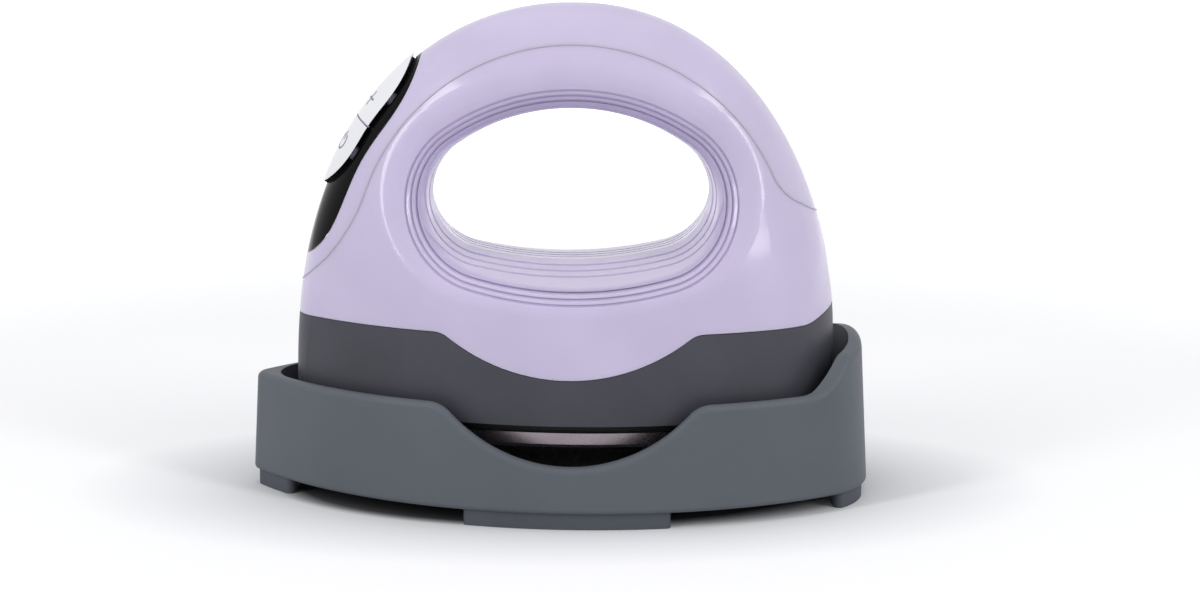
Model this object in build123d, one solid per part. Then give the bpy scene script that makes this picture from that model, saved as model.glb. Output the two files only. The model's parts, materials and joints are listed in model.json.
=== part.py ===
from build123d import *
import math
import os

# A mini handheld heat press standing in its boat-shaped resting stand.
# The tip, with the control keys, points to -X and the heel to +X.
# The origin is the middle of the footprint, on the surface it stands on.

# ---------------- driving dimensions, millimetres ----------------

# Plan of stand and press: two wide side arcs, pointed tip, blunt heel.
WIDE_X = 7.45          # station where everything is widest

# Stand
STAND_TIP_X = -66.25
STAND_HEEL_X = 66.25
STAND_HALF_WIDTH = 39.5
STAND_TIP_RADIUS = 4.5
STAND_HEEL_CORNER = 20.0
STAND_HEEL_BULGE = 80.0
STAND_DRAFT = 1.7      # how far the wall leans in over its full height
WALL_TIP = 6.1
WALL_SIDE = 2.2
WALL_HEEL = 4.2
INNER_TIP_RADIUS = 12.0
INNER_HEEL_CORNER = 24.0
INNER_HEEL_BULGE = 62.0
FOOT_HEIGHT = 3.3
FLOOR_THICKNESS = 2.5
RIM_Z = 24.7
RIM_ROUND = 1.3
FLOOR_ROUND = 0.9
POCKET_DRAFT = 0.4
DIP_X = 2.2
DIP_Z = 12.6
DIP_RADIUS = 33.5
DIP_SHOULDER = 6.0
HEEL_RIM_Z = 33.7       # crest of the arched heel wall
HEEL_SHOULDER_Z = 31.6
HEEL_SHOULDER_Y = 18.5
HEEL_RISE_START = 24.8  # half-width where the heel wall starts to rise
HEEL_RIM_SOFT = 3.0
HEEL_REACH_IN = 20.0    # how far the raised rim runs in from the heel end
FOOT_INSET = 1.0
FOOT_BAND = 8.0
FOOT_CORNER = 1.2
TIP_FOOT_LENGTH = 10.0
HEEL_FOOT_LENGTH = 9.0
HEEL_FOOT_APART = 8.0
SIDE_FOOT_X = 1.7
SIDE_FOOT_HALF = 20.9
POST_RADIUS = 5.0
POST_TIP_X = -30.0
POST_HEEL_X = 34.0
POST_TIP_Y = 9.0
POST_HEEL_Y = 14.0
PAD_THICKNESS = 2.5
MAT_THICKNESS = 1.2
MAT_CLEARANCE = 2.0
MAT_INSET = 3.0

# Hot plate and the stack above it
PLATE_BOTTOM_Z = 14.8
PLATE_THICKNESS = 3.0
PLATE_TIP_X = -52.75
PLATE_HEEL_X = 52.75
PLATE_HALF_WIDTH = 30.0
PLATE_TIP_RADIUS = 8.0
PLATE_EDGE = 0.7
SEAL_THICKNESS = 2.2
SEAL_INSET = 1.2
SEAL_BAND = 4.0
HEATER_THICKNESS = 0.8
HEATER_INSET = 7.5
CLAMP_THICKNESS = 1.0
CLAMP_INSET = 9.0
SHIELD_THICKNESS = 0.8
STACK_GAP = 0.4
STANDOFF_RADIUS = 2.6
STANDOFF_TIP_X = -29.0
STANDOFF_HEEL_X = 36.0
STANDOFF_Y = 9.0
SCREW_RADIUS = 1.2
SCREW_HEAD_RADIUS = 2.4
SCREW_HEAD_HEIGHT = 1.4

# Press body: silhouette half-lengths and half-width of the dome
BODY_TOP_Z = 104.1
APEX_X = 2.6
TIP_REACH = 59.1
HEEL_REACH = 56.35
BODY_HALF_WIDTH = 33.6
BODY_TIP_RADIUS = 11.0
NOSE_RADIUS_GAIN = 2.0
WALL = 2.2
FLANGE_INSET = 3.5
FLANGE_THICKNESS = 1.8

# Parting line between grey skirt and coloured shells
PARTING_Z = 38.2
SCOOP_X = 2.0
SCOOP_Z = 29.4
SCOOP_RADIUS = 42.3
SCOOP_SHOULDER = 5.0
HEEL_KINK_X = 52.0      # from here to the heel the parting line climbs
HEEL_CLIMB = 0.4
HEEL_KINK_SOFT = 8.0
PARTING_GAP = 0.15
SEAM_GAP = 0.2
LENS_GAP = 0.15

# Finger opening
GRIP_X = 2.65
GRIP_TOP_Z = 81.7
GRIP_BOTTOM_Z = 49.1
GRIP_HALF_LENGTH = 29.55
GRIP_TOP_RADIUS = 42.3
GRIP_END_RADIUS = 12.6
GRIP_DRAFT = 4.0       # degrees, the opening widens towards both sides
GRIP_ROLL = 6.5
RIDGE_DEPTH = 0.35
RIDGE_FIRST = 2.4       # grooves on the roll, distance from the opening
RIDGE_WIDTH = 0.5
RIDGE_STEP = 1.1
RIDGE_COUNT = 3
THROAT_RIDGE_FIRST = 5.0    # grooves inside, distance from the middle plane
THROAT_RIDGE_WIDTH = 1.6
THROAT_RIDGE_STEP = 5.5
THROAT_RIDGE_REACH = 2.0

# Crown seam and control lens
SEAM_X = 2.8
SEAM_Z = 50.0
SEAM_RADIUS = 45.5
LENS_THICKNESS = 2.0
RIB_DROP = 2.5         # how far the crown's ribs reach below its seam
COVER_RIB = 1.3
COVER_RIB_Y = 7.4
COVER_RIB_REACH = 33.0
LENS_LEDGE = 2.0

# Keys
KEY_PROUD = 1.0
KEY_THICKNESS = 2.4
KEY_GAP = 0.4
KEY_TRAVEL = 0.5
KEY_MARGIN = 0.9
KEY_SPLIT_X = -41.9
KEY_SPLIT_Z = 80.0
KEY_TILT = 36.0        # press direction, degrees below level
KEY_STEM_RADIUS = 1.5
KEY_STEM_ALONG = 7.0
KEY_STEM_Y = 3.4
KEY_STEM_START = 1.8
SOFT_GAP = 0.3

# Control board behind the lens
BOARD_THICKNESS = 1.6
CONTROL_BOARD_DEPTH = 13.0
CONTROL_BOARD_UP = 15.0
CONTROL_BOARD_DOWN = 25.0
CONTROL_BOARD_WIDTH = 15.0
LEDGE_THICKNESS = 1.6
LEDGE_UP = 8.0
LEDGE_DOWN = 18.0
SWITCH_SIZE = 5.0
SWITCH_HEIGHT = 2.5
DOME_HEIGHT = 1.2
KEYPAD_INSET = 0.8
DISPLAY_LOW = 22.5
DISPLAY_HIGH = 12.5
DISPLAY_WIDTH = 10.0
DISPLAY_HEIGHT = 4.0

# Main board
POWER_BOARD_LENGTH = 56.0
POWER_BOARD_WIDTH = 30.0
POWER_BOARD_LIFT = 4.6
RELAY_SIZE = (15.0, 10.0, 12.0)
CAPACITOR_RADIUS = 4.0
CAPACITOR_HEIGHT = 12.0
TERMINAL_SIZE = (8.0, 15.0, 9.0)
FUSE_LENGTH = 14.0
FUSE_RADIUS = 2.4

# Cord inlet
GLAND_Z = 47.0
GLAND_RADIUS = 5.5
GLAND_BORE = 3.2
GLAND_INNER_X = 46.0
GLAND_OUTER_X = 55.6
GLAND_COLLAR_X = 50.0
GLAND_COLLAR = 1.6
GLAND_FLANGE = 7.2
RIB = 1.4

# Fasteners of the shells
BOSS_RADIUS = 2.8
BOSS_LOW_X = 20.0
BOSS_LOW_Z = 42.0
BOSS_HIGH_X = 38.6
BOSS_HIGH_Z = 57.0
SHELL_SCREW_REACH = 8.0
HEAD_POCKET_GAP = 0.3
HEAD_POCKET_WALL = 1.3
HOUSING_BOSS_X = 33.0
HOUSING_BOSS_TIP_Y = 18.0
HOUSING_BOSS_HEEL_Y = 22.5

# ---------------- derived places ----------------

FAR = 90.0                                   # larger than the object
FLOOR_Z = FOOT_HEIGHT + FLOOR_THICKNESS
STAND_TOP_Z = HEEL_RIM_Z + 2
PLATE_TOP_Z = PLATE_BOTTOM_Z + PLATE_THICKNESS
BASE_Z = PLATE_TOP_Z + SEAL_THICKNESS        # lower edge of the skirt
FLANGE_TOP_Z = BASE_Z + FLANGE_THICKNESS
SHIELD_TOP_Z = FLANGE_TOP_Z + SHIELD_THICKNESS
CLAMP_Z = PLATE_TOP_Z + HEATER_THICKNESS
CLAMP_TOP_Z = CLAMP_Z + CLAMP_THICKNESS
POWER_BOARD_Z = SHIELD_TOP_Z + POWER_BOARD_LIFT
PARTS_Z = POWER_BOARD_Z + BOARD_THICKNESS
PRESS_DIR = Vector(
    math.cos(math.radians(KEY_TILT)), 0, -math.sin(math.radians(KEY_TILT)))
# Panel frame: x across, y up the nose, z into the body.
PANEL = Plane(origin=(KEY_SPLIT_X, 0, KEY_SPLIT_Z), x_dir=(0, 1, 0), z_dir=PRESS_DIR)


# ---------------- plan outlines ----------------

def touch_point(centre_x, reach, big_radius, wide_x, half_width):
    # Where a tip or heel circle runs into the wide side arc.
    depth = big_radius - half_width
    span = math.hypot(centre_x - wide_x, depth)
    scale = big_radius / span
    return wide_x + (centre_x - wide_x) * scale, depth - depth * scale


def egg_wire(z, tip_x, heel_x, wide_x, half_width, tip_radius):
    # Four tangent arcs: near side, round heel, far side, pointed tip.
    tip_reach = wide_x - tip_x
    heel_reach = heel_x - wide_x
    big = tip_reach ** 2 + half_width ** 2 - 2 * tip_reach * tip_radius
    big = big / (2 * (half_width - tip_radius))
    depth = big - half_width
    heel_radius = (big ** 2 - depth ** 2 - heel_reach ** 2) / (2 * (big - heel_reach))
    tx, ty = touch_point(tip_x + tip_radius, tip_reach, big, wide_x, half_width)
    hx, hy = touch_point(heel_x - heel_radius, heel_reach, big, wide_x, half_width)
    outline = Wire([
        ThreePointArc((tx, ty), (wide_x, -half_width), (hx, hy)),
        ThreePointArc((hx, hy), (heel_x, 0), (hx, -hy)),
        ThreePointArc((hx, -hy), (wide_x, half_width), (tx, -ty)),
        ThreePointArc((tx, -ty), (tip_x, 0), (tx, ty)),
    ])
    return outline.moved(Location((0, 0, z)))


def boat_wire(z, tip_x, heel_x, half_width, tip_radius, corner, bulge):
    # As the egg, but blunt: a wide heel arc meets each side arc in a corner arc.
    reach = WIDE_X - tip_x
    big = reach ** 2 + half_width ** 2 - 2 * reach * tip_radius
    big = big / (2 * (half_width - tip_radius))
    depth = big - half_width
    tx, ty = touch_point(tip_x + tip_radius, reach, big, WIDE_X, half_width)
    side_centre = Vector(WIDE_X, depth)
    heel_centre = Vector(heel_x - bulge, 0)
    side_reach = big - corner
    heel_reach = bulge - corner
    line = heel_centre - side_centre
    span = line.length
    along = (side_reach ** 2 - heel_reach ** 2 + span ** 2) / (2 * span)
    off = math.sqrt(side_reach ** 2 - along ** 2)
    unit = line * (1 / span)
    centre = side_centre + unit * along + Vector(-unit.Y, unit.X) * off
    side_end = side_centre + (centre - side_centre) * (big / side_reach)
    heel_end = heel_centre + (centre - heel_centre) * (bulge / heel_reach)
    middle = (side_end - centre) + (heel_end - centre)
    middle = centre + middle * (corner / middle.length)
    sx, sy = side_end.X, side_end.Y
    mx, my = middle.X, middle.Y
    hx, hy = heel_end.X, heel_end.Y
    outline = Wire([
        ThreePointArc((tx, ty), (WIDE_X, -half_width), (sx, sy)),
        ThreePointArc((sx, sy), (mx, my), (hx, hy)),
        ThreePointArc((hx, hy), (heel_x, 0), (hx, -hy)),
        ThreePointArc((hx, -hy), (mx, -my), (sx, -sy)),
        ThreePointArc((sx, -sy), (WIDE_X, half_width), (tx, -ty)),
        ThreePointArc((tx, -ty), (tip_x, 0), (tx, ty)),
    ])
    return outline.moved(Location((0, 0, z)))


def plate_solid(z, thickness, inset):
    # A flat layer with the outline of the hot plate, drawn in by inset.
    outline = egg_wire(
        z,
        PLATE_TIP_X + inset,
        PLATE_HEEL_X - inset,
        WIDE_X,
        PLATE_HALF_WIDTH - inset,
        max(PLATE_TIP_RADIUS - inset, 0.25 * (PLATE_HALF_WIDTH - inset)),
    )
    return extrude(Face(outline), thickness, dir=(0, 0, 1))


# ---------------- side-view shapes ----------------

def side_column(sketch):
    # A side-view shape carried through the whole width.
    return extrude(Plane.XZ * sketch, FAR, both=True)


def block(x0, x1, y0, y1, z0, z1):
    size = Box(x1 - x0, y1 - y0, z1 - z0)
    return Pos((x0 + x1) / 2, (y0 + y1) / 2, (z0 + z1) / 2) * size


def grip_sketch(offset):
    # The finger opening: wide top arc, flatter floor, round ends.
    hub = GRIP_HALF_LENGTH - GRIP_END_RADIUS
    top_c = GRIP_TOP_Z - GRIP_TOP_RADIUS
    rise = math.sqrt((GRIP_TOP_RADIUS - GRIP_END_RADIUS) ** 2 - hub ** 2)
    end_z = top_c + rise
    lift = end_z - GRIP_BOTTOM_Z
    low_r = (hub ** 2 + lift ** 2 - GRIP_END_RADIUS ** 2) / (2 * (lift - GRIP_END_RADIUS))
    low_c = GRIP_BOTTOM_Z + low_r

    def tangent(side, centre, radius):
        span = math.hypot(hub, end_z - centre)
        reach = (radius + offset) / span
        return GRIP_X + side * hub * reach, centre + (end_z - centre) * reach

    top_left = tangent(-1, top_c, GRIP_TOP_RADIUS)
    top_right = tangent(1, top_c, GRIP_TOP_RADIUS)
    low_left = tangent(-1, low_c, low_r)
    low_right = tangent(1, low_c, low_r)
    outer = GRIP_HALF_LENGTH + offset
    return make_face([
        ThreePointArc(top_left, (GRIP_X, GRIP_TOP_Z + offset), top_right),
        ThreePointArc(top_right, (GRIP_X + outer, end_z), low_right),
        ThreePointArc(low_right, (GRIP_X, GRIP_BOTTOM_Z - offset), low_left),
        ThreePointArc(low_left, (GRIP_X - outer, end_z), top_left),
    ])


def above_parting():
    # Everything above the skirt's upper edge, scoop included.
    field = make_face(Polyline([
        (-FAR, PARTING_Z),
        (HEEL_KINK_X, PARTING_Z),
        (FAR, PARTING_Z + (FAR - HEEL_KINK_X) * HEEL_CLIMB),
        (FAR, 2 * FAR),
        (-FAR, 2 * FAR),
    ], close=True))
    kink = [v for v in field.vertices() if abs(v.X - HEEL_KINK_X) < 0.01]
    field = fillet(kink, HEEL_KINK_SOFT)
    shape = field + Pos(SCOOP_X, SCOOP_Z + SCOOP_RADIUS) * Circle(SCOOP_RADIUS)
    shoulders = [
        v for v in shape.vertices()
        if abs(v.Y - PARTING_Z) < 0.01 and abs(v.X - SCOOP_X) < SCOOP_RADIUS
    ]
    return side_column(fillet(shoulders, SCOOP_SHOULDER))


def above_seam(drop):
    # The crown: outside a wide arc that flares out at heel and tip.
    radius = SEAM_RADIUS - drop
    heel_a = (SEAM_X + radius * math.cos(math.radians(25)),
              SEAM_Z + radius * math.sin(math.radians(25)))
    heel_b = (heel_a[0] + 6.2, heel_a[1] - 6.5)
    heel_m = (heel_a[0] + 2.3, heel_a[1] - 3.6)
    tip_a = (SEAM_X - radius * math.cos(math.radians(21)),
             SEAM_Z + radius * math.sin(math.radians(21)))
    tip_b = (tip_a[0] - 9.6, tip_a[1] - 16.0)
    tip_m = (tip_a[0] - 4.2, tip_a[1] - 9.0)
    heel_end = (FAR, heel_b[1] - (FAR - heel_b[0]) * 0.57)
    tip_end = (-FAR, tip_b[1] - (FAR + tip_b[0]) * 0.9)
    return side_column(make_face([
        Line(heel_end, heel_b),
        ThreePointArc(heel_b, heel_m, heel_a),
        ThreePointArc(heel_a, (SEAM_X, SEAM_Z + radius), tip_a),
        ThreePointArc(tip_a, tip_m, tip_b),
        Line(tip_b, tip_end),
        Line(tip_end, (-FAR, 2 * FAR)),
        Line((-FAR, 2 * FAR), (FAR, 2 * FAR)),
        Line((FAR, 2 * FAR), heel_end),
    ]))


def front_of(edge, grow):
    # The field ahead of an edge that runs down the nose, moved in by grow.
    start = edge @ 0
    end = edge @ 1
    field = make_face([
        edge,
        Line(end, (-FAR, end.Y)),
        Line((-FAR, end.Y), (-FAR, start.Y)),
        Line((-FAR, start.Y), start),
    ])
    return Pos(PRESS_DIR.X * grow, PRESS_DIR.Z * grow) * field


def lens_column(grow):
    # Front part of the crown that carries the black lens.
    edge = Spline([
        (-28.6, 96.5),
        (-30.2, 89.0),
        (-34.0, 81.7),
        (-40.5, 72.5),
        (-45.2, 62.6),
        (-49.0, 55.2),
        (-57.0, 49.6),
    ])
    return side_column(front_of(edge, grow))


def key_column(grow):
    # Front part of the lens that is taken by the keys.
    edge = Spline([
        (-30.4, 96.5),
        (-35.0, 84.9),
        (-39.7, 78.8),
        (-43.4, 72.9),
        (-47.0, 68.7),
        (-52.5, 65.2),
    ])
    return side_column(front_of(edge, grow))


# ---------------- press body ----------------

def dome(inset, base_z=BASE_Z):
    # The body's outer form drawn in by inset, as stacked egg sections.
    top = BODY_TOP_Z - inset

    def reach(full, power, root, low_z, z):
        t = min(max((z - low_z) / (top - low_z), 0), 1)
        return (full - inset) * (1 - t ** power) ** (1 / root)

    def section(z):
        half = reach(BODY_HALF_WIDTH, 1.55, 1.75, 28, z)
        rise = min(max((z - PARTING_Z) / (top - PARTING_Z), 0), 1)
        tip_radius = BODY_TIP_RADIUS + NOSE_RADIUS_GAIN * min(1, 2 * rise) - inset
        return egg_wire(
            z,
            APEX_X - reach(TIP_REACH, 2.45, 2.05, 20, z),
            APEX_X + reach(HEEL_REACH, 1.9, 2.2, 35, z),
            APEX_X + (WIDE_X - APEX_X) * (1 - rise),
            half,
            min(tip_radius, 0.62 * half),
        )

    count = 7
    levels = [
        base_z + (top - base_z) * math.sin(i / count * math.pi / 2)
        for i in range(count)
    ]
    levels.append(top - 0.06)
    return Solid.make_loft([section(z) for z in levels], ruled=False)


def near_half(solid):
    return solid & block(-FAR, FAR, -FAR, 0, -FAR, 2 * FAR)


def grip_throat(inset):
    # Near half of the finger opening, drafted so that it leaves the mould.
    return extrude(Plane.XZ * grip_sketch(inset), FAR / 2, taper=-GRIP_DRAFT)


def grip_half(inset, base_z=BASE_Z):
    # Near half of the body with the opening and its rolled edge.
    body = near_half(dome(inset, base_z)) - grip_throat(inset)
    box = grip_sketch(inset + THROAT_RIDGE_REACH).bounding_box()
    rim = []
    for edge in body.edges():
        e = edge.bounding_box()
        inside_x = e.min.X > box.min.X - 1 and e.max.X < box.max.X + 1
        inside_z = e.min.Z > box.min.Y - 1 and e.max.Z < box.max.Y + 1
        if inside_x and inside_z and e.max.Y < -1 and e.max.Y - e.min.Y < FAR / 5:
            rim.append(edge)
    return fillet(rim, GRIP_ROLL - inset)


def ridge_bands():
    # Where the surface steps down: rings in the throat, then rings on the roll.
    bands = []
    throat = side_column(grip_sketch(THROAT_RIDGE_REACH))
    for i in range(RIDGE_COUNT):
        depth = THROAT_RIDGE_FIRST + i * THROAT_RIDGE_STEP
        bands.append(throat & block(
            -FAR, FAR, -depth - THROAT_RIDGE_WIDTH, -depth, 0, 2 * FAR))
    for i in range(RIDGE_COUNT):
        start = RIDGE_FIRST + i * RIDGE_STEP
        outer = side_column(grip_sketch(start + RIDGE_WIDTH))
        bands.append(outer - side_column(grip_sketch(start)))
    return bands


def mirrored(solid):
    return mirror(solid, about=Plane.XZ)


def export(name, shape):
    export_step(shape, "parts/" + name + ".step")


# ---------------- stand ----------------

def stand_wire(z, inset):
    # Plan of the stand's outer wall, drawn in by inset.
    return boat_wire(
        z, STAND_TIP_X + inset, STAND_HEEL_X - inset, STAND_HALF_WIDTH - inset,
        STAND_TIP_RADIUS, STAND_HEEL_CORNER, STAND_HEEL_BULGE)


def stand_block(inset):
    # The stand's outer form: walls that lean in a little towards the top.
    low = stand_wire(FOOT_HEIGHT, inset)
    high = stand_wire(STAND_TOP_Z, inset + STAND_DRAFT)
    return Solid.make_loft([low, high], ruled=True)


def stand_pocket(z):
    # Outline of the pocket that takes the press, at one height.
    rise = (z - FLOOR_Z) / (STAND_TOP_Z - FLOOR_Z)
    return boat_wire(
        z, STAND_TIP_X + WALL_TIP, STAND_HEEL_X - WALL_HEEL,
        STAND_HALF_WIDTH - WALL_SIDE - POCKET_DRAFT * (1 - rise),
        INNER_TIP_RADIUS, INNER_HEEL_CORNER, INNER_HEEL_BULGE)


def stand_tray():
    tray = stand_block(0)
    tray = fillet(tray.edges().group_by(Axis.Z)[0], FLOOR_ROUND)
    pocket = Solid.make_loft([stand_pocket(FLOOR_Z), stand_pocket(STAND_TOP_Z)], ruled=True)
    tray = tray - rim_cut() - heel_cut()
    core = stand_block(0.1)
    rim = []
    for edge in tray.edges():
        middle = edge @ 0.5
        level = abs((edge % 0.5).Z) < 0.9
        if level and edge.length > RIM_ROUND and middle.Z > DIP_Z - 3 \
                and not core.is_inside(middle):
            rim.append(edge)
    tray = fillet(rim, RIM_ROUND) - pocket
    for x, y in post_places():
        tray = tray + Pos(x, y, FLOOR_Z) * Cylinder(
            POST_RADIUS, PLATE_BOTTOM_Z - PAD_THICKNESS - FLOOR_Z,
            align=(Align.CENTER, Align.CENTER, Align.MIN))
    return tray


def rim_cut():
    # Above the rim: level along the wall, with a scoop on each side.
    limit_x = STAND_HEEL_X - HEEL_REACH_IN
    width = limit_x + FAR
    field = Pos(limit_x - width / 2, RIM_Z + FAR / 2) * Rectangle(width, FAR)
    shape = field + Pos(DIP_X, DIP_Z + DIP_RADIUS) * Circle(DIP_RADIUS)
    shoulders = [
        v for v in shape.vertices()
        if abs(v.Y - RIM_Z) < 0.01 and abs(v.X - DIP_X) < DIP_RADIUS
    ]
    shape = fillet(shoulders, DIP_SHOULDER)
    return side_column(shape)


def heel_cut():
    # Above the rim at the heel: the end wall rises to a flat arch.
    left = (-HEEL_SHOULDER_Y, HEEL_SHOULDER_Z)
    right = (HEEL_SHOULDER_Y, HEEL_SHOULDER_Z)
    shape = make_face([
        ThreePointArc(left, (0, HEEL_RIM_Z), right),
        Line(right, (HEEL_RISE_START, RIM_Z)),
        Line((HEEL_RISE_START, RIM_Z), (FAR, RIM_Z)),
        Line((FAR, RIM_Z), (FAR, FAR)),
        Line((FAR, FAR), (-FAR, FAR)),
        Line((-FAR, FAR), (-FAR, RIM_Z)),
        Line((-FAR, RIM_Z), (-HEEL_RISE_START, RIM_Z)),
        Line((-HEEL_RISE_START, RIM_Z), left),
    ])
    soft = [v for v in shape.vertices() if abs(v.X) < FAR - 1]
    shape = fillet(soft, HEEL_RIM_SOFT)
    return Pos(STAND_HEEL_X - HEEL_REACH_IN, 0, 0) * extrude(Plane.YZ * shape, FAR)


def post_places():
    return [
        (POST_TIP_X, -POST_TIP_Y),
        (POST_TIP_X, POST_TIP_Y),
        (POST_HEEL_X, -POST_HEEL_Y),
        (POST_HEEL_X, POST_HEEL_Y),
    ]


def stand_feet():
    # Stretches of a band that follows the edge of the floor.
    outer = extrude(Face(stand_wire(0, FOOT_INSET)), FOOT_HEIGHT, dir=(0, 0, 1))
    inner = extrude(Face(stand_wire(0, FOOT_INSET + FOOT_BAND)), FOOT_HEIGHT, dir=(0, 0, 1))
    band = outer - inner
    tip_end = STAND_TIP_X + TIP_FOOT_LENGTH
    heel_start = STAND_HEEL_X - HEEL_FOOT_LENGTH
    feet = [band & block(-FAR, tip_end, -FAR, FAR, -1, FAR)]
    for side in (-1, 1):
        low = min(side * FAR, 0)
        feet.append(band & block(
            SIDE_FOOT_X - SIDE_FOOT_HALF, SIDE_FOOT_X + SIDE_FOOT_HALF,
            low, low + FAR, -1, FAR))
        feet.append(band & block(
            heel_start, FAR, min(side * FAR, side * HEEL_FOOT_APART),
            max(side * FAR, side * HEEL_FOOT_APART), -1, FAR))
    rounded = []
    for foot in feet:
        for piece in foot.solids():
            rounded.append(fillet(piece.edges().filter_by(Axis.Z), FOOT_CORNER))
    return Compound(children=[piece for piece in rounded])


def rest_pads():
    pads = []
    for x, y in post_places():
        pads.append(Pos(x, y, PLATE_BOTTOM_Z - PAD_THICKNESS) * Cylinder(
            POST_RADIUS, PAD_THICKNESS,
            align=(Align.CENTER, Align.CENTER, Align.MIN)))
    return Compound(children=[pad.solid() for pad in pads])


def heat_mat():
    mat = plate_solid(FLOOR_Z, MAT_THICKNESS, MAT_INSET)
    for x, y in post_places():
        mat = mat - Pos(x, y, FLOOR_Z) * Cylinder(POST_RADIUS + MAT_CLEARANCE, 10)
    return mat


# ---------------- hot plate stack ----------------

def stack_places():
    return [
        (STANDOFF_TIP_X, -STANDOFF_Y),
        (STANDOFF_TIP_X, STANDOFF_Y),
        (STANDOFF_HEEL_X, -STANDOFF_Y),
        (STANDOFF_HEEL_X, STANDOFF_Y),
    ]


def upright(x, y, z, radius, height):
    return Pos(x, y, z) * Cylinder(
        radius, height, align=(Align.CENTER, Align.CENTER, Align.MIN))


def heat_plate():
    plate = plate_solid(PLATE_BOTTOM_Z, PLATE_THICKNESS, 0)
    lower = plate.edges().group_by(Axis.Z)[0]
    plate = fillet(lower, PLATE_EDGE)
    for x, y in stack_places():
        plate = plate - upright(x, y, PLATE_TOP_Z - 2, SCREW_RADIUS, 3)
    return plate


def plate_seal():
    outer = plate_solid(PLATE_TOP_Z, SEAL_THICKNESS, SEAL_INSET)
    return outer - plate_solid(PLATE_TOP_Z - 1, SEAL_THICKNESS + 2, SEAL_INSET + SEAL_BAND)


def layer(z, thickness, inset):
    sheet = plate_solid(z, thickness, inset)
    for x, y in stack_places():
        sheet = sheet - upright(x, y, z - 1, STANDOFF_RADIUS + STACK_GAP, thickness + 2)
    for x, y in housing_boss_places():
        sheet = sheet - upright(x, y, z - 1, BOSS_RADIUS + STACK_GAP, thickness + 2)
    return sheet


def heat_shield():
    shield = plate_solid(FLANGE_TOP_Z, SHIELD_THICKNESS, 1.2)
    for x, y in stack_places():
        shield = shield - upright(x, y, FLANGE_TOP_Z - 1, SCREW_RADIUS + 0.2, 4)
    for x, y in housing_boss_places():
        shield = shield - upright(x, y, FLANGE_TOP_Z - 1, BOSS_RADIUS + STACK_GAP, 4)
    return shield


def plate_standoffs():
    posts = []
    for x, y in stack_places():
        post = upright(x, y, PLATE_TOP_Z, STANDOFF_RADIUS, FLANGE_TOP_Z - PLATE_TOP_Z)
        post = post - upright(x, y, PLATE_TOP_Z - 1, SCREW_RADIUS + 0.2, 20)
        posts.append(post.solid())
    return Compound(children=posts)


def plate_screws():
    screws = []
    for x, y in stack_places():
        shank = upright(x, y, PLATE_TOP_Z - 2, SCREW_RADIUS, SHIELD_TOP_Z - PLATE_TOP_Z + 2)
        head = upright(x, y, SHIELD_TOP_Z, SCREW_HEAD_RADIUS, SCREW_HEAD_HEIGHT)
        screws.append((shank + head).solid())
    return Compound(children=screws)


# ---------------- press shells ----------------

def boss_places():
    # Screw posts between the two side halves.
    return [
        (SCOOP_X - BOSS_LOW_X, BOSS_LOW_Z),
        (SCOOP_X + BOSS_LOW_X, BOSS_LOW_Z),
        (GRIP_X - BOSS_HIGH_X, BOSS_HIGH_Z),
        (GRIP_X + BOSS_HIGH_X, BOSS_HIGH_Z),
    ]


def housing_boss_places():
    # Screw posts between the skirt and the side halves.
    return [
        (APEX_X - HOUSING_BOSS_X, -HOUSING_BOSS_TIP_Y),
        (APEX_X - HOUSING_BOSS_X, HOUSING_BOSS_TIP_Y),
        (APEX_X + HOUSING_BOSS_X, -HOUSING_BOSS_HEEL_Y),
        (APEX_X + HOUSING_BOSS_X, HOUSING_BOSS_HEEL_Y),
    ]


def across(x, z, y0, y1, radius):
    # A round bar from y0 to y1.
    return Pos(x, (y0 + y1) / 2, z) * Rot(90, 0, 0) * Cylinder(radius, y1 - y0)


def lengthwise(x0, x1, z, radius):
    # A round bar from x0 to x1 on the middle plane.
    return Pos((x0 + x1) / 2, 0, z) * Rot(0, 90, 0) * Cylinder(radius, x1 - x0)


def panel_block(y0, y1, low, high, depth0, depth1):
    # A block in the panel frame.
    place = Pos((y0 + y1) / 2, (low + high) / 2, (depth0 + depth1) / 2)
    return PANEL * place * Box(y1 - y0, high - low, depth1 - depth0)


def gland_space():
    return lengthwise(GLAND_INNER_X - 1, FAR, GLAND_Z, GLAND_RADIUS)


def ridged_half():
    bands = [near_half(band) for band in ridge_bands()]
    sunk = grip_half(RIDGE_DEPTH)
    return (grip_half(0) - bands) + [sunk & band for band in bands]


def shell_blank(hollow, above, crown):
    # Wall of the near half between skirt and crown, with its inner ribs.
    shell = ((ridged_half() - hollow) & above) - crown
    room = (hollow & above) - above_seam(RIB_DROP + 0.5)
    ribs = []
    pocket = SCREW_HEAD_RADIUS + HEAD_POCKET_GAP
    for x, z in boss_places():
        ribs.append(across(x, z, -FAR, 0, BOSS_RADIUS))
        ribs.append(across(
            x, z, -FAR, HEAD_POCKET_WALL - SHELL_SCREW_REACH, pocket + HEAD_POCKET_WALL))
    for x, y in housing_boss_places():
        if y < 0:
            ribs.append(upright(x, y, PARTING_Z - 1, BOSS_RADIUS, 9))
            ribs.append(block(x - 0.8, x + 0.8, -FAR, y, PARTING_Z - 1, PARTING_Z + 8))
    back = CONTROL_BOARD_DEPTH + BOARD_THICKNESS
    for low in (LEDGE_UP, -LEDGE_DOWN):
        ribs.append(panel_block(
            -FAR, 1.5 - CONTROL_BOARD_WIDTH / 2, low, low + 2.0, back, back + LEDGE_THICKNESS))
    for start in (GLAND_COLLAR_X - RIB, GLAND_COLLAR_X + GLAND_COLLAR):
        ribs.append(block(
            start, start + RIB, -FAR, 0, GLAND_Z - GLAND_FLANGE - 1.5, GLAND_Z + GLAND_FLANGE))
    shell = shell + [rib & room for rib in ribs]
    return shell - gland_space()


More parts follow.
